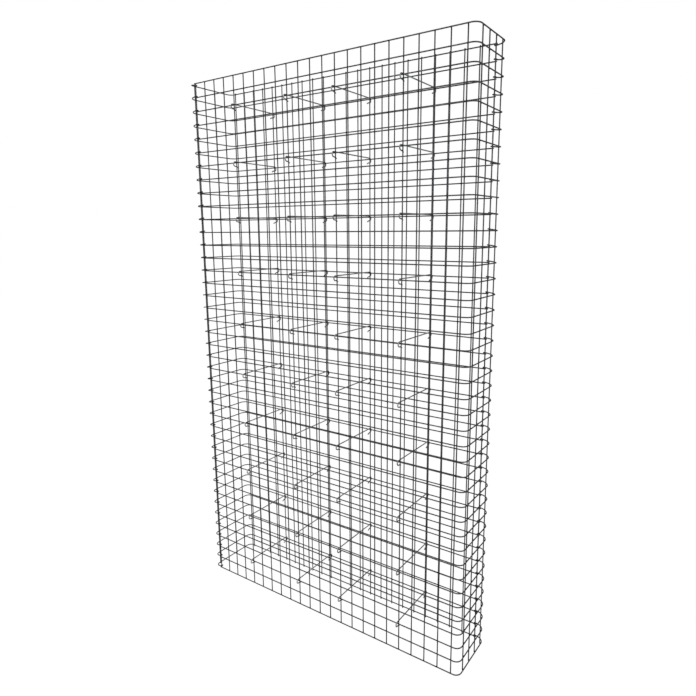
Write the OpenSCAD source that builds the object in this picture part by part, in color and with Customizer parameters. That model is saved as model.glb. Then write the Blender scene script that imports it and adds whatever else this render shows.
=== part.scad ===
// Tall narrow gabion basket of welded wire mesh, open at the top and the bottom.
// Two alike sheets, each bent round two upright corners, are closed into a ring.
// The free end of every line wire is rolled into an eye round the other sheet's first upright.
// Hooked spacers hold the face and the back the same distance apart.
// Origin: middle of the footprint, on the ground. X runs along the face, Y to the back, Z up.

/* [Wire] */
// Diameter of the wire of the mesh
wire_d = 4; // [3:0.5:5]
// Diameter of the wire of the spacers
spacer_d = 4; // [3:0.5:4.5]
// Clearance between two wires that lie against each other
touch_gap = 0.05; // [0.02:0.01:0.1]

/* [Mesh] */
// Distance between neighbouring uprights and between neighbouring line wires
mesh = 50; // [50:1:60]
// Meshes along the face, between its first and its last upright
face_meshes = 22; // [6:1:24]
// Meshes on one side, between its first and its last upright
side_meshes = 3; // [2:1:8]
// Meshes over the height
height_meshes = 40; // [8:1:40]
// Length of an upright past the middle of the last line wire
upright_end = 3; // [2.5:0.5:6]
// Length of a line wire past the middle of its first upright
line_end = 3; // [2.5:0.5:4]

/* [Corners] */
// Radius of the upright corners, at the middle of the line wire
bend_r = 22; // [20:1:28]
// Straight length between the last upright of the face and the bend
bend_lead = 9; // [3:0.5:12]
// Straight length between the first bend and the first upright of a side
side_first = 18; // [10:1:24]

/* [Eyes] */
// Free play between an eye and the upright that it holds
eye_play = 0.3; // [0.2:0.1:1]
// Height of an eye above its own row, so that it clears the other sheet's line wire
eye_rise = 5; // [5:0.5:8]
// Angle that the wire of an eye turns through
eye_angle = 265; // [200:5:270]

/* [Spacers] */
// Uprights of the face, counted from the left, that carry a column of spacers
spacer_uprights = [4, 9, 13, 18];
// Meshes below the lowest spacers
spacer_start_meshes = 2; // [1:1:4]
// Meshes from one spacer to the next above it
spacer_step_meshes = 4; // [2:1:8]
// Radius of a spacer's hook, at the middle of its wire
hook_r = 8; // [6:0.5:12]
// Radius at which the tail of a hook opens again
flare_r = 26; // [16:1:40]
// Angle that the tail of a hook opens by
flare_angle = 34; // [15:1:45]

/* [Hidden] */
// Number of segments round the wire and round a bend
wire_fn = 24;
bend_fn = 64;

// A wire that lies against another one has its middle this far away
weld_step = wire_d + touch_gap;

// Straight runs of a line wire, and the distances between opposite line wires.
// The second bend starts at the last upright of a side.
face_run = face_meshes * mesh;
side_run = side_first + side_meshes * mesh;
mid_w = face_run + 2 * (bend_lead + bend_r);
mid_d = side_run + 2 * bend_r;

// Places in the half sheet that makes the face and the right side
face_y = -mid_d / 2;
first_x = -face_run / 2;
side_x = mid_w / 2;
side_y0 = face_y + bend_r + side_first;

// Height of a row's line wire, counted from the bottom row
function row_z(row) = upright_end + row * mesh;
top_row = floor(height_meshes);
upright_len = top_row * mesh + 2 * upright_end;

// An eye stands above its row; in the top row it hangs below, so the rim stays level
function eye_side(row) = row == top_row ? -1 : 1;
eye_r = wire_d + eye_play;

// The second bend and its lead slope to the eye, which ends level with the other sheet's upright
eye_run = bend_r + bend_lead;
eye_tilt = atan(eye_rise / eye_run);
eye_lead = eye_run / cos(eye_tilt) - bend_r;

// Spacers: rows that carry them, and their height above the line wire that they rest on
spacer_rows = [for (row = [spacer_start_meshes : spacer_step_meshes : top_row - 1]) row];
spacer_lift = (wire_d + spacer_d) / 2 + touch_gap;
spacer_side = (wire_d + spacer_d) / 2 + touch_gap;

function spacer_name(row, col) = str("spacer_row_", row, "_upright_", spacer_uprights[col] + 1);
sheet_nodes = ["face_sheet_uprights", "face_sheet_line_wires", "back_sheet_uprights", "back_sheet_line_wires"];
spacer_nodes = [for (row = spacer_rows) for (col = [0 : len(spacer_uprights) - 1]) spacer_name(row, col)];

// A quarter or any other turn of wire: it starts at the origin along X and turns towards Y
module turn_of_wire(r, angle, d) {
    translate([0, r, 0])
        rotate([0, 0, -90])
            rotate_extrude(angle = angle, $fn = bend_fn)
                translate([r, 0])
                    circle(d = d, $fn = wire_fn);
}

// Straight wire from the origin along X
module straight_wire(length, d) {
    rotate([0, 90, 0])
        cylinder(d = d, h = length, $fn = wire_fn);
}

// One upright, standing on its lower end
module upright() {
    cylinder(d = wire_d, h = upright_len, $fn = wire_fn);
}

// Last part of a line wire: the second bend, its straight end and the eye, in one sloping plane
module corner_and_eye(rise) {
    rotate([rise * eye_tilt, 0, 0]) {
        turn_of_wire(bend_r, 90, wire_d);
        translate([bend_r, bend_r, 0])
            rotate([0, 0, 90]) {
                straight_wire(eye_lead, wire_d);
                translate([eye_lead, 0, 0])
                    turn_of_wire(eye_r, eye_angle, wire_d);
            }
    }
}

// One line wire of a sheet, from its cut end on the face to its eye on the back
module line_wire(rise) {
    translate([first_x - line_end, face_y, 0])
        straight_wire(line_end + face_run + bend_lead, wire_d);
    translate([side_x - bend_r, face_y, 0])
        turn_of_wire(bend_r, 90, wire_d);
    translate([side_x, face_y + bend_r, 0])
        rotate([0, 0, 90]) {
            straight_wire(side_run, wire_d);
            translate([side_run, 0, 0])
                corner_and_eye(rise);
        }
}

// Uprights of the sheet that makes the face and the right side
module sheet_uprights() {
    for (i = [0 : face_meshes])
        translate([first_x + i * mesh, face_y + weld_step, 0])
            upright();
    for (i = [0 : side_meshes])
        translate([side_x - weld_step, side_y0 + i * mesh, 0])
            upright();
}

// Line wires of the same sheet, one for each row
module sheet_line_wires() {
    for (row = [0 : top_row])
        translate([0, 0, row_z(row)])
            line_wire(eye_side(row));
}

// The back sheet is the same sheet, turned half round
module turned_half_round() {
    rotate([0, 0, 180])
        children();
}

module face_sheet_uprights() {
    color("dimgray") sheet_uprights();
}

module face_sheet_line_wires() {
    color("dimgray") sheet_line_wires();
}

module back_sheet_uprights() {
    color("slategray") turned_half_round() sheet_uprights();
}

module back_sheet_line_wires() {
    color("slategray") turned_half_round() sheet_line_wires();
}

// Hook at the +Y end of a spacer: it starts at the origin, turns down and back, then opens
module spacer_hook() {
    rotate([0, -90, 0])
        rotate([0, 0, 90]) {
            turn_of_wire(hook_r, 180, spacer_d);
            translate([0, 2 * hook_r, 0])
                mirror([1, 0, 0])
                    turn_of_wire(flare_r, flare_angle, spacer_d);
        }
}

// One spacer, lying on the line wires of one row beside an upright
module spacer() {
    color("gray") {
        translate([0, -mid_d / 2, 0])
            rotate([0, 0, 90])
                straight_wire(mid_d, spacer_d);
        translate([0, mid_d / 2, 0])
            spacer_hook();
        rotate([0, 0, 180])
            translate([0, mid_d / 2, 0])
                spacer_hook();
    }
}

module placed_spacer(row, col) {
    upright_x = first_x + spacer_uprights[col] * mesh;
    translate([upright_x - spacer_side, 0, row_z(row) + spacer_lift])
        spacer();
}

face_sheet_uprights();
face_sheet_line_wires();
back_sheet_uprights();
back_sheet_line_wires();
for (row = spacer_rows)
    for (col = [0 : len(spacer_uprights) - 1])
        placed_spacer(row, col);
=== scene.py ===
from math import radians

import bpy
import numpy as np
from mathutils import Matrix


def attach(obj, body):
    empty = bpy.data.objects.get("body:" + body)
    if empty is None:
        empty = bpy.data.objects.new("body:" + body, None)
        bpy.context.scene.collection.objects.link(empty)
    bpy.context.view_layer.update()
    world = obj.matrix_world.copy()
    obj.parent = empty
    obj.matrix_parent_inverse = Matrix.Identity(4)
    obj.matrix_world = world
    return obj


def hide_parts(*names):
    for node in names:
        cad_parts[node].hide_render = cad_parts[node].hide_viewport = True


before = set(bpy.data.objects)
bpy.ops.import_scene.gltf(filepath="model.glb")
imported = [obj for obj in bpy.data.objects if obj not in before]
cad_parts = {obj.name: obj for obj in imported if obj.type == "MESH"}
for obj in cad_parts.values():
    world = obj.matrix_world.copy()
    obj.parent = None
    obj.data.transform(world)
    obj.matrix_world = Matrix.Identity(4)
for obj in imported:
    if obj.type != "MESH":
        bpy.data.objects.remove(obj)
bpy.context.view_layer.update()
print("frame loaded with", len(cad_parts), "nodes")

# sizes of the welded mesh, in metres
mesh = {
    "wire": 0.004,
    "pitch": 0.05,
    "faceMeshes": 22,
    "sideMeshes": 3,
    "heightMeshes": 40,
    "weldGap": 0.00005,
    "uprightEnd": 0.003,       # upright past the last line wire
    "lineEnd": 0.003,          # line wire past its first upright
    "bendRadius": 0.022,
    "bendLead": 0.009,         # straight between the face's last upright and the bend
    "sideFirst": 0.018,        # straight between the bend and the side's first upright
}

# places that follow from those sizes
weldStep = mesh["wire"] + mesh["weldGap"]
faceRun = mesh["faceMeshes"] * mesh["pitch"]
sideRun = mesh["sideFirst"] + mesh["sideMeshes"] * mesh["pitch"]
halfWidth = faceRun / 2 + mesh["bendLead"] + mesh["bendRadius"]
halfDepth = sideRun / 2 + mesh["bendRadius"]
height = mesh["heightMeshes"] * mesh["pitch"] + 2 * mesh["uprightEnd"]
rowHeights = mesh["uprightEnd"] + mesh["pitch"] * np.arange(mesh["heightMeshes"] + 1)
faceUprightX = -faceRun / 2 + mesh["pitch"] * np.arange(mesh["faceMeshes"] + 1)
sideUprightY = -sideRun / 2 + mesh["sideFirst"] + mesh["pitch"] * np.arange(mesh["sideMeshes"] + 1)
halfTurn = np.array([-1.0, -1.0, 1.0])     # carries the face sheet onto the back sheet


# one socket of a material; sums and products add Math nodes, numbers may stand on either side
class Shade:
    def __init__(self, tree, socket=None):
        self.tree = tree
        self.socket = socket

    def node(self, kind, settings=None, sockets=None, out=0):
        made = self.tree.nodes.new("ShaderNode" + kind)
        for name, value in (settings or {}).items():
            setattr(made, name, value)
        for name, value in (sockets or {}).items():
            if isinstance(value, Shade):
                self.tree.links.new(value.socket, made.inputs[name])
            else:
                made.inputs[name].default_value = value
        return Shade(self.tree, made.outputs[out] if made.outputs else None)

    # another output of the same node
    def other(self, name):
        return Shade(self.tree, self.socket.node.outputs[name])

    def math(self, operation, first, second=0.0):
        return self.node("Math", {"operation": operation}, {0: first, 1: second})

    def __add__(self, other):
        return self.math("ADD", self, other)

    def __sub__(self, other):
        return self.math("SUBTRACT", self, other)

    def __rsub__(self, other):
        return self.math("SUBTRACT", other, self)

    def __mul__(self, other):
        return self.math("MULTIPLY", self, other)

    __radd__ = __add__
    __rmul__ = __mul__

    def bigger(self, other):
        return self.math("MAXIMUM", self, other)

    def above(self, limit):
        return self.math("GREATER_THAN", self, limit)

    # smooth step from low to high while the value goes from start to end
    def fade(self, start, end, low=0.0, high=1.0):
        settings = {"interpolation_type": "SMOOTHSTEP"}
        sockets = {"Value": self, "From Min": start, "From Max": end, "To Min": low, "To Max": high}
        return self.node("MapRange", settings, sockets)

    # first colour where the value is 0, second colour where it is 1
    def mix(self, first, second):
        ends = [part if isinstance(part, Shade) else (*part, 1.0) for part in (first, second)]
        return self.node("Mix", {"data_type": "RGBA"}, {0: self, 6: ends[0], 7: ends[1]}, out=2)


def newMaterial(name):
    material = bpy.data.materials.new(name)
    material.use_nodes = True
    material.node_tree.nodes.clear()
    return material, Shade(material.node_tree)


# noise of a given grain size, 0 to 1
def grain(graph, place, size, detail=2.0):
    return graph.node("TexNoise", None, {"Vector": place, "Scale": 1.0 / size, "Detail": detail})


# edges are the noise levels between which a mark sets in, shares say how much it covers
zinc = {
    "mesh": (0.105, 0.110, 0.120),
    "spacer": (0.560, 0.580, 0.610),       # the photo shows these wires fainter than the mesh
    "flake": (0.230, 0.240, 0.260),        # single flakes of the spangle
    "dull": (0.052, 0.056, 0.063),         # weathered patches and drawing marks
    "scorch": (0.030, 0.028, 0.028),       # burnt by the welding
    "rust": (0.120, 0.052, 0.024),
    "patchSize": 0.030,
    "patchEdges": (0.35, 0.68),
    "patchShare": 0.6,
    "spangleSize": 0.0035,
    "flakeEdges": (0.62, 0.95),
    "flakeShare": 0.5,
    "grainSize": 0.0006,
    "markEdges": (0.60, 0.72),
    "markShare": 0.35,
    "weldCore": 0.001,                     # scorched all over within this distance of a weld
    "weldHalo": 0.0085,                    # and not at all from here on
    "scorchShare": (0.45, 0.5),            # everywhere in the halo, and more in the patches
    "metal": 0.85,
    "roughness": 0.40,
    "roughnessBy": {"patch": 0.16, "flake": 0.08, "worn": 0.18, "rust": 0.2},
    "metalBy": {"rust": 0.6, "worn": 0.25},
    "reliefBy": {"mark": 0.5, "grain": 0.3, "flake": 0.2},
    "bumpStrength": 0.35,
    "bumpDepth": 0.00012,
}
# rust freckles sit where the grain and the patches are both over their edges
freckles = {
    "mesh": {"grainEdges": (0.56, 0.66), "patchEdges": (0.42, 0.60)},
    "spacer": {"grainEdges": (0.66, 0.74), "patchEdges": (0.52, 0.62)},
    "share": 0.8,
}
# the drawing marks run along the wire, so the noise is stretched that way
alongWire = {"upright": (1, 1, 0.05), "line": (0.2, 0.2, 1), "spacer": (1, 0.05, 1)}


# 1 on a weld, 0 outside its halo; the distance to the nearest crossing wire is
# pingpong(z - uprightEnd, pitch / 2) along an upright, and along a line wire
# pingpong(x, pitch / 2) on the face and the back, pingpong(y + offset, pitch / 2) on the sides
def weldMask(graph, place, kind):
    half = mesh["pitch"] / 2
    offset = mesh["pitch"] - sideUprightY[-1] % mesh["pitch"]
    parts = graph.node("SeparateXYZ", None, {"Vector": place})
    x, y, z = (parts.other(axis) for axis in "XYZ")

    def near(value):
        distance = graph.math("PINGPONG", value, half)
        return distance.fade(zinc["weldCore"], zinc["weldHalo"], 1.0, 0.0)

    if kind == "upright":
        return near(z - mesh["uprightEnd"])
    onSide = graph.math("ABSOLUTE", x).above(halfWidth - mesh["bendRadius"] / 2)
    return (1 - onSide) * near(x) + onSide * near(y * graph.math("SIGN", x) + offset)


# dull galvanised wire: weathered patches, spangle and drawing marks,
# scorched and freckled near the welds
def zincMaterial(name, colour, kind):
    material, graph = newMaterial(name)
    place = graph.node("TexCoord").other("Object")
    patches = grain(graph, place, zinc["patchSize"], 3.0)
    cells = {"Vector": place, "Scale": 1.0 / zinc["spangleSize"]}
    spangle = graph.node("TexVoronoi", None, cells, out="Color")
    flake = graph.node("SeparateColor", None, {"Color": spangle})
    speck = grain(graph, place, zinc["grainSize"], 1.0)
    drawn = graph.node("VectorMath", {"operation": "MULTIPLY"}, {0: place, 1: alongWire[kind]})
    marks = grain(graph, drawn, zinc["grainSize"], 1.0)

    tone = patches.fade(*zinc["patchEdges"])
    base = (tone * zinc["patchShare"]).mix(colour, zinc["dull"])
    base = (flake.fade(*zinc["flakeEdges"]) * zinc["flakeShare"]).mix(base, zinc["flake"])
    base = (marks.fade(*zinc["markEdges"]) * zinc["markShare"]).mix(base, zinc["dull"])
    where = freckles["spacer" if kind == "spacer" else "mesh"]
    if kind == "spacer":
        freckle = speck.fade(*where["grainEdges"]) * patches.fade(*where["patchEdges"])
        worn = freckle
    else:
        near = weldMask(graph, place, kind)
        always, inPatches = zinc["scorchShare"]
        worn = near * (always + inPatches * patches)
        freckle = speck.fade(*where["grainEdges"]) * near * patches.fade(*where["patchEdges"])
        base = worn.mix(base, zinc["scorch"])
    base = (freckle * freckles["share"]).mix(base, zinc["rust"])

    by = zinc["roughnessBy"]
    rough = zinc["roughness"] + by["patch"] * tone - by["flake"] * flake
    rough = rough + by["worn"] * worn + by["rust"] * freckle
    by = zinc["reliefBy"]
    relief = by["mark"] * marks + by["grain"] * speck + by["flake"] * flake
    sockets = {"Strength": zinc["bumpStrength"], "Distance": zinc["bumpDepth"], "Height": relief}
    bump = graph.node("Bump", None, sockets)
    by = zinc["metalBy"]
    metal = zinc["metal"] - by["rust"] * freckle - by["worn"] * worn
    sockets = {"Base Color": base, "Roughness": rough, "Metallic": metal, "Normal": bump}
    graph.node("OutputMaterial", None, {"Surface": graph.node("BsdfPrincipled", None, sockets)})
    return material


bead = {
    "dark": (0.030, 0.028, 0.028),
    "light": (0.085, 0.088, 0.096),
    "rust": (0.115, 0.048, 0.022),
    "patchSize": 0.012,
    "lightEdges": (0.40, 0.62),
    "grainSize": 0.0007,
    "rustGrainEdges": (0.48, 0.62),
    "rustPatchEdges": (0.50, 0.60),
    "rustShare": 0.75,
    "metal": 0.6,
    "rustMetal": 0.4,          # taken off where it is rusty
    "roughness": 0.48,
    "rustRoughness": 0.25,     # added where it is rusty
    "bumpStrength": 0.5,
    "bumpDepth": 0.0002,
}


# squeezed-out weld metal: dark, rough, here and there rusty
def beadMaterial():
    material, graph = newMaterial("weldMetal")
    place = graph.node("TexCoord").other("Object")
    patches = grain(graph, place, bead["patchSize"], 2.0)
    speck = grain(graph, place, bead["grainSize"], 2.0)
    rusty = speck.fade(*bead["rustGrainEdges"]) * patches.fade(*bead["rustPatchEdges"])
    base = patches.fade(*bead["lightEdges"]).mix(bead["dark"], bead["light"])
    base = (rusty * bead["rustShare"]).mix(base, bead["rust"])
    sockets = {"Strength": bead["bumpStrength"], "Distance": bead["bumpDepth"], "Height": speck}
    bump = graph.node("Bump", None, sockets)
    sockets = {"Base Color": base, "Roughness": bead["roughness"] + bead["rustRoughness"] * rusty,
               "Metallic": bead["metal"] - bead["rustMetal"] * rusty, "Normal": bump}
    graph.node("OutputMaterial", None, {"Surface": graph.node("BsdfPrincipled", None, sockets)})
    return material


cutEnd = {
    "steel": (0.090, 0.080, 0.072),
    "rust": (0.110, 0.050, 0.024),
    "grainSize": 0.0009,
    "rustEdges": (0.42, 0.62),
    "metal": 0.5,
    "roughness": 0.42,
    "grainRoughness": 0.3,
    "bumpStrength": 0.4,
    "bumpDepth": 0.0002,
}


# sheared end of a wire: bare steel, going brown in spots
def cutMaterial():
    material, graph = newMaterial("cutSteel")
    place = graph.node("TexCoord").other("Object")
    speck = grain(graph, place, cutEnd["grainSize"], 3.0)
    base = speck.fade(*cutEnd["rustEdges"]).mix(cutEnd["steel"], cutEnd["rust"])
    sockets = {"Strength": cutEnd["bumpStrength"], "Distance": cutEnd["bumpDepth"], "Height": speck}
    bump = graph.node("Bump", None, sockets)
    rough = cutEnd["roughness"] + cutEnd["grainRoughness"] * speck
    sockets = {"Base Color": base, "Roughness": rough, "Metallic": cutEnd["metal"], "Normal": bump}
    graph.node("OutputMaterial", None, {"Surface": graph.node("BsdfPrincipled", None, sockets)})
    return material


eye = {
    "play": 0.0003,            # between the eye and the upright that it holds
    "rise": 0.005,             # height above its own row
    "turn": 265,               # degrees
}
tube = {
    "sides": 16,
    "bevel": 0.00035,          # broken edge of a cut end
    "bendSteps": 12,
    "eyeSteps": 26,
    "leastStep": 1e-7,         # points of a path that lie closer together are one point
}


# points on a circle through the origin that starts along +X and bends towards +Y:
# x = r sin a, y = r (1 - cos a)
def arc(radius, turn, steps):
    angle = np.radians(np.linspace(0.0, turn, steps + 1))
    return np.stack([radius * np.sin(angle), radius * (1 - np.cos(angle)), 0 * angle], axis=1)


# middle line of one line wire of the face sheet, at height 0; rise is 1 or -1 for the eye's side
def lineWirePath(rise):
    radius = mesh["bendRadius"]
    start = np.array([[-faceRun / 2 - mesh["lineEnd"], -halfDepth, 0.0]])
    corner = arc(radius, 90, tube["bendSteps"]) + (halfWidth - radius, -halfDepth, 0.0)
    # the second bend, its lead and the eye lie in one plane, which slopes by the rise over this run
    run = radius + mesh["bendLead"]
    slope = np.arctan(eye["rise"] / run)
    loop = arc(mesh["wire"] + eye["play"], eye["turn"], tube["eyeSteps"])
    along, turned = run / np.cos(slope) + loop[:, 0], radius - loop[:, 1]
    loop = np.stack([turned, along, 0 * along], axis=1)
    tail = np.concatenate([arc(radius, 90, tube["bendSteps"]), loop])
    sloped = np.stack([halfWidth - tail[:, 1] * np.cos(slope), sideRun / 2 + tail[:, 0],
                       rise * tail[:, 1] * np.sin(slope)], axis=1)
    return np.concatenate([start, corner, sloped])


# rows of points joined into quads, each row a closed ring, and a fan of triangles at either end,
# round the last two points
def ringFaces(rings, sides):
    first = sides * np.arange(rings - 1)[:, None] + np.arange(sides)
    second = sides * np.arange(rings - 1)[:, None] + (np.arange(sides) + 1) % sides
    quads = np.stack([first, second, second + sides, first + sides], axis=-1).reshape(-1, 4)
    lowTip, highTip = np.full(sides, rings * sides), np.full(sides, rings * sides + 1)
    low = np.stack([lowTip, second[0], first[0]], axis=1)
    high = np.stack([highTip, first[-1] + sides, second[-1] + sides], axis=1)
    return quads, np.concatenate([low, high])


# round wire along a path, each ring square to it: p = middle + r (cos t side + sin t up)
def wireSurface(path, reference):
    ahead = np.diff(path, axis=0)
    ahead = ahead[np.linalg.norm(ahead, axis=1) > tube["leastStep"]]
    path = np.concatenate([path[:1], path[:1] + np.cumsum(ahead, axis=0)])
    ahead /= np.linalg.norm(ahead, axis=1)[:, None]
    tangent = [ahead[:1], ahead[:1], ahead[:-1] + ahead[1:], ahead[-1:], ahead[-1:]]
    tangent = np.concatenate(tangent)
    tangent /= np.linalg.norm(tangent, axis=1)[:, None]
    bevel = tube["bevel"]
    middle = np.concatenate([path[:1], path[:1] + bevel * ahead[:1], path[1:-1],
                             path[-1:] - bevel * ahead[-1:], path[-1:]])
    radius = np.full(len(middle), mesh["wire"] / 2)
    radius[[0, -1]] -= bevel
    side = np.cross(tangent, np.array(reference, float))
    side /= np.linalg.norm(side, axis=1)[:, None]
    up = np.cross(tangent, side)
    turn = 2 * np.pi * np.arange(tube["sides"])[:, None] / tube["sides"]
    spoke = np.cos(turn) * side[:, None] + np.sin(turn) * up[:, None]
    ring = middle[:, None] + radius[:, None, None] * spoke
    points = np.concatenate([ring.reshape(-1, 3), middle[:1], middle[-1:]])
    return points, *ringFaces(len(middle), tube["sides"])


# faces of one copy carried on to a number of copies, each with its own points
def countedOn(faces, copies, pointsEach):
    shift = pointsEach * np.arange(copies)[:, None, None]
    return (faces[None] + shift).reshape(-1, faces.shape[1])


# the same surface once for each offset
def repeated(surface, offsets):
    points, quads, caps = surface
    moved = points[None] + np.asarray(offsets, float)[:, None]
    copies = len(offsets), len(points)
    return moved.reshape(-1, 3), countedOn(quads, *copies), countedOn(caps, *copies)


# two surfaces as one
def joined(one, two):
    shifts = 0, len(one[0]), len(one[0])
    return tuple(np.concatenate([a, b + shift]) for a, b, shift in zip(one, two, shifts))


# mesh object on the one rigid body;
# quads are smooth, the end caps are flat and take the last material
def makePiece(name, surface, materials, flatCaps=True):
    points, quads, caps = surface
    data = bpy.data.meshes.new(name)
    data.from_pydata(points.tolist(), [], quads.tolist() + caps.tolist())
    isCap = np.arange(len(quads) + len(caps)) >= len(quads)
    data.polygons.foreach_set("use_smooth", ~(isCap & flatCaps))
    for material in materials:
        data.materials.append(material)
    data.polygons.foreach_set("material_index", (isCap * (len(materials) - 1)).astype(np.int32))
    data.update()
    piece = bpy.data.objects.new(name, data)
    bpy.context.scene.collection.objects.link(piece)
    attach(piece, "root")
    return piece


weld = {
    "halfWidth": 0.0025,       # squeezed-out metal, across the two wires
    "halfDepth": 0.0014,
    "unevenness": 0.16,
    "around": 8,
    "rings": 5,
    "seeds": {"face_sheet": 3, "back_sheet": 8},
}


# one squashed ball per weld, each a little different:
# a cos p cos t across, a cos p sin t up, d sin p outward
def weldSurface(centres, outward, seed):
    random = np.random.default_rng(seed)
    turn = 2 * np.pi * np.arange(weld["around"]) / weld["around"]
    tilt = np.pi * (np.arange(1, weld["rings"])[:, None] / weld["rings"] - 0.5)
    unit = [np.cos(tilt) * np.cos(turn), np.cos(tilt) * np.sin(turn), np.sin(tilt) + 0 * turn]
    unit = np.stack(unit, axis=-1)
    unit = np.concatenate([unit.reshape(-1, 3), [[0, 0, -1], [0, 0, 1]]])
    size = np.array([weld["halfWidth"], weld["halfWidth"], weld["halfDepth"]])
    local = unit * size * (1 + weld["unevenness"] * random.uniform(-1, 1, (len(centres), 1, 3)))
    upward = np.array([0.0, 0.0, 1.0])
    across = np.cross(upward, outward)
    points = (centres[:, None] + local[..., :1] * across[:, None] + local[..., 1:2] * upward
              + local[..., 2:] * outward[:, None])
    quads, caps = ringFaces(weld["rings"] - 1, weld["around"])
    copies = len(centres), len(unit)
    return points.reshape(-1, 3), countedOn(quads, *copies), countedOn(caps, *copies)


print("materials")
uprightZinc = zincMaterial("zincUpright", zinc["mesh"], "upright")
lineZinc = zincMaterial("zincLineWire", zinc["mesh"], "line")
spacerZinc = zincMaterial("zincSpacer", zinc["spacer"], "spacer")
weldMetal = beadMaterial()
cutSteel = cutMaterial()

print("sheets")
# feet of the uprights of the face sheet, and which way their line wires lie
onFace = np.stack([faceUprightX, 0 * faceUprightX + weldStep - halfDepth, 0 * faceUprightX], axis=1)
onSide = np.stack([0 * sideUprightY + halfWidth - weldStep, sideUprightY, 0 * sideUprightY], axis=1)
feet = np.concatenate([onFace, onSide])
outward = np.repeat([[0.0, -1.0, 0.0], [1.0, 0.0, 0.0]], [len(onFace), len(onSide)], axis=0)
rows = rowHeights[:, None] * [0.0, 0.0, 1.0]

uprightPath = np.array([[0, 0, 0], [0, 0, height]], float)
sheetUprights = repeated(wireSurface(uprightPath, (0, 1, 0)), feet)
lowRows = repeated(wireSurface(lineWirePath(1), (0, 0, 1)), rows[:-1])
topRow = repeated(wireSurface(lineWirePath(-1), (0, 0, 1)), rows[-1:])
sheetLines = joined(lowRows, topRow)
# a weld sits halfway between the middles of the two wires
spots = ((feet + outward * weldStep / 2)[:, None] + rows).reshape(-1, 3)
spotOutward = np.repeat(outward, len(rows), axis=0)

wires = {"uprights": (sheetUprights, uprightZinc), "line_wires": (sheetLines, lineZinc)}
for sheet, turn in (("face_sheet", np.ones(3)), ("back_sheet", halfTurn)):
    for part, ((points, quads, caps), material) in wires.items():
        turned = (points * turn, quads, caps)
        piece = makePiece(f"{sheet}_{part}_wire", turned, [material, cutSteel])
        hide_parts(f"{sheet}_{part}")
    points, quads, caps = weldSurface(spots, spotOutward, weld["seeds"][sheet])
    makePiece(f"{sheet}_welds", (points * turn, quads, caps), [weldMetal], flatCaps=False)

print("spacers")
for name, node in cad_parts.items():
    if name.startswith("spacer"):
        node.data.materials.clear()
        node.data.materials.append(spacerZinc)


# 1 for rays that the camera or a see-through surface sends, 0 for reflections and matt surfaces,
# so the zinc mirrors the dim studio and not the white that the camera sees
def seenRays(graph):
    path = graph.node("LightPath")
    kinds = [path.other(name) for name in ("Is Camera Ray", "Is Transmission Ray")]
    return kinds[0].bigger(kinds[1])


print("floor, light and camera")
ground = {
    "size": 60.0,
    "colour": (0.85, 0.85, 0.85),
    "whiteShare": 0.90,        # share of plain white in what the camera sees of the floor
    "glow": 1.08,              # a little over 1, so that lit floor and backdrop are the same white
}
half = ground["size"] / 2
floorData = bpy.data.meshes.new("floor")
corners = [(-half, -half, 0), (half, -half, 0), (half, half, 0), (-half, half, 0)]
floorData.from_pydata(corners, [], [(0, 1, 2, 3)])
floor = bpy.data.objects.new("floor", floorData)
bpy.context.scene.collection.objects.link(floor)
floorMaterial, graph = newMaterial("paleFloor")
matt = graph.node("BsdfDiffuse", None, {"Color": (*ground["colour"], 1.0)})
glow = graph.node("Emission", None, {"Color": (1.0, 1.0, 1.0, 1.0), "Strength": ground["glow"]})
blend = graph.node("MixShader", None, {0: seenRays(graph) * ground["whiteShare"], 1: matt, 2: glow})
graph.node("OutputMaterial", None, {"Surface": blend})
floorData.materials.append(floorMaterial)

studio = {
    "backdrop": 1.0,           # what the camera sees
    "ambient": 0.33,           # what the object gets
}
world = bpy.data.worlds.new("studio")
bpy.context.scene.world = world
world.use_nodes = True
world.node_tree.nodes.clear()
graph = Shade(world.node_tree)
strength = studio["ambient"] + (studio["backdrop"] - studio["ambient"]) * seenRays(graph)
sky = graph.node("Background", None, {"Color": (1.0, 1.0, 1.0, 1.0), "Strength": strength})
graph.node("OutputWorld", None, {"Surface": sky})

# softboxes that look at the middle of the basket
softboxes = {
    "keyLamp": {"place": (-2.2, -3.6, 4.2), "size": 3.0, "power": 80.0},
    "fillLamp": {"place": (4.0, -1.5, 2.6), "size": 2.5, "power": 30.0},
}
for name, lamp in softboxes.items():
    data = bpy.data.lights.new(name, "AREA")
    data.size = lamp["size"]
    data.energy = lamp["power"]
    light = bpy.data.objects.new(name, data)
    bpy.context.scene.collection.objects.link(light)
    light.location = lamp["place"]
    x, y, z = np.array([0.0, 0.0, height / 2]) - lamp["place"]
    light.rotation_euler = (np.arctan2(np.hypot(x, y), -z), 0.0, np.arctan2(-x, y))

view = {
    "place": (1.2350, -1.6473, 1.4531),
    "turn": (79.369, 0.354, 34.367),
    "sensor": 36.0,            # millimetres, as the lens
    "lens": 29.418,
    "shift": (-0.0114, -0.0140),
    "reach": 100.0,
}
cameraData = bpy.data.cameras.new("camera")
cameraData.sensor_width = view["sensor"]
cameraData.lens = view["lens"]
cameraData.shift_x, cameraData.shift_y = view["shift"]
cameraData.clip_end = view["reach"]
camera = bpy.data.objects.new("camera", cameraData)
bpy.context.scene.collection.objects.link(camera)
camera.location = view["place"]
camera.rotation_euler = [radians(angle) for angle in view["turn"]]
bpy.context.scene.camera = camera
bpy.context.scene.view_settings.view_transform = "Standard"
